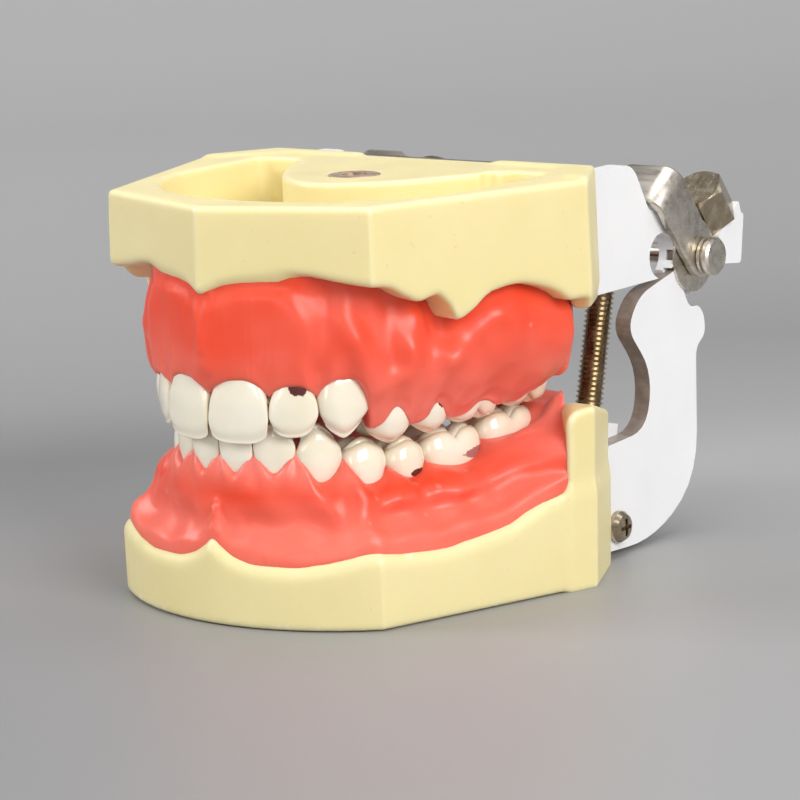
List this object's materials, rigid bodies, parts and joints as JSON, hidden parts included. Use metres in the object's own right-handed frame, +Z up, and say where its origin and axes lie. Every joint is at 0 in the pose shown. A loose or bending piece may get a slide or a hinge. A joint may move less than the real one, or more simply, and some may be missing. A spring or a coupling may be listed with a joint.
{
  "type": "typodont",
  "caption": "Hinged dental teaching model: upper and lower plastic jaw bases with soft gums and screw-fixed teeth on a sheet-metal articulator that opens.",
  "frame": {"origin": "on the rest face under the middle of the lower base, in the plane of symmetry", "axes": "+X to the model's left, +Y to the back where the hinge is, +Z up"},
  "size_m": [0.066, 0.0919, 0.055],
  "materials": {
    "base_plastic": "satin, slightly translucent cream casting",
    "gum_silicone": "glossy coral silicone",
    "tooth_resin": "polished ivory resin",
    "bracket_paint": "white powder coat",
    "hinge_steel": "warm brushed nickel-plated steel",
    "screw_steel": "turned steel",
    "insert_brass": "turned threaded insert"
  },
  "bodies": {
    "lower_jaw": {"lower_base": "base_plastic", "lower_gum": "gum_silicone", "lower_insert": "insert_brass", "lower_tooth_screws": "screw_steel", "lower_bracket": "bracket_paint", "lower_bracket_screws": "screw_steel", "arm_left": "bracket_paint", "arm_right": "bracket_paint", "arm_screws": "screw_steel", "hinge_axle": "hinge_steel", "hinge_washers": "hinge_steel", "lower_left_central_incisor": "tooth_resin", "lower_left_lateral_incisor": "tooth_resin", "lower_left_canine": "tooth_resin", "lower_left_first_premolar": "tooth_resin", "lower_left_second_premolar": "tooth_resin", "lower_left_first_molar": "tooth_resin", "lower_left_second_molar": "tooth_resin", "lower_right_central_incisor": "tooth_resin", "lower_right_lateral_incisor": "tooth_resin", "lower_right_canine": "tooth_resin", "lower_right_first_premolar": "tooth_resin", "lower_right_second_premolar": "tooth_resin", "lower_right_first_molar": "tooth_resin", "lower_right_second_molar": "tooth_resin"},
    "upper_jaw": {"upper_base": "base_plastic", "upper_gum": "gum_silicone", "upper_insert": "insert_brass", "upper_tooth_screws": "screw_steel", "upper_bracket": "bracket_paint", "upper_bracket_screws": "screw_steel", "upper_left_central_incisor": "tooth_resin", "upper_left_lateral_incisor": "tooth_resin", "upper_left_canine": "tooth_resin", "upper_left_first_premolar": "tooth_resin", "upper_left_second_premolar": "tooth_resin", "upper_left_first_molar": "tooth_resin", "upper_left_second_molar": "tooth_resin", "upper_right_central_incisor": "tooth_resin", "upper_right_lateral_incisor": "tooth_resin", "upper_right_canine": "tooth_resin", "upper_right_first_premolar": "tooth_resin", "upper_right_second_premolar": "tooth_resin", "upper_right_first_molar": "tooth_resin", "upper_right_second_molar": "tooth_resin"},
    "bail": {"bail": "hinge_steel"},
    "bite_screw_left": {"bite_screw_left": "screw_steel"},
    "bite_screw_right": {"bite_screw_right": "screw_steel"},
    "stop_screw_left": {"stop_screw_left": "screw_steel"},
    "stop_screw_right": {"stop_screw_right": "screw_steel"}
  },
  "joints": [
    {"name": "jaw_hinge", "type": "hinge", "parent": "lower_jaw", "child": "upper_jaw", "pos_m": [0, 0.0485, 0.0393], "axis": [-1, 0, 0], "range_deg": [0, 55]},
    {"name": "bail_swing", "type": "hinge", "parent": "upper_jaw", "child": "bail", "pos_m": [0, 0.0485, 0.0393], "axis": [-1, 0, 0], "range_deg": [0, 12]},
    {"name": "bite_screw_left_turn", "type": "hinge", "parent": "lower_jaw", "child": "bite_screw_left", "pos_m": [0.0205, 0.0266, 0.0083], "axis": [0, 0.2351, 0.972], "continuous": true},
    {"name": "stop_screw_left_turn", "type": "hinge", "parent": "upper_jaw", "child": "stop_screw_left", "pos_m": [0.0242, 0.05653, 0.0434], "axis": [0, -0.6143, 0.7891], "continuous": true},
    {"name": "bite_screw_right_turn", "type": "hinge", "parent": "lower_jaw", "child": "bite_screw_right", "pos_m": [-0.0205, 0.0266, 0.0083], "axis": [0, 0.2351, 0.972], "continuous": true},
    {"name": "stop_screw_right_turn", "type": "hinge", "parent": "upper_jaw", "child": "stop_screw_right", "pos_m": [-0.0242, 0.05653, 0.0434], "axis": [0, -0.6143, 0.7891], "continuous": true}
  ]
}
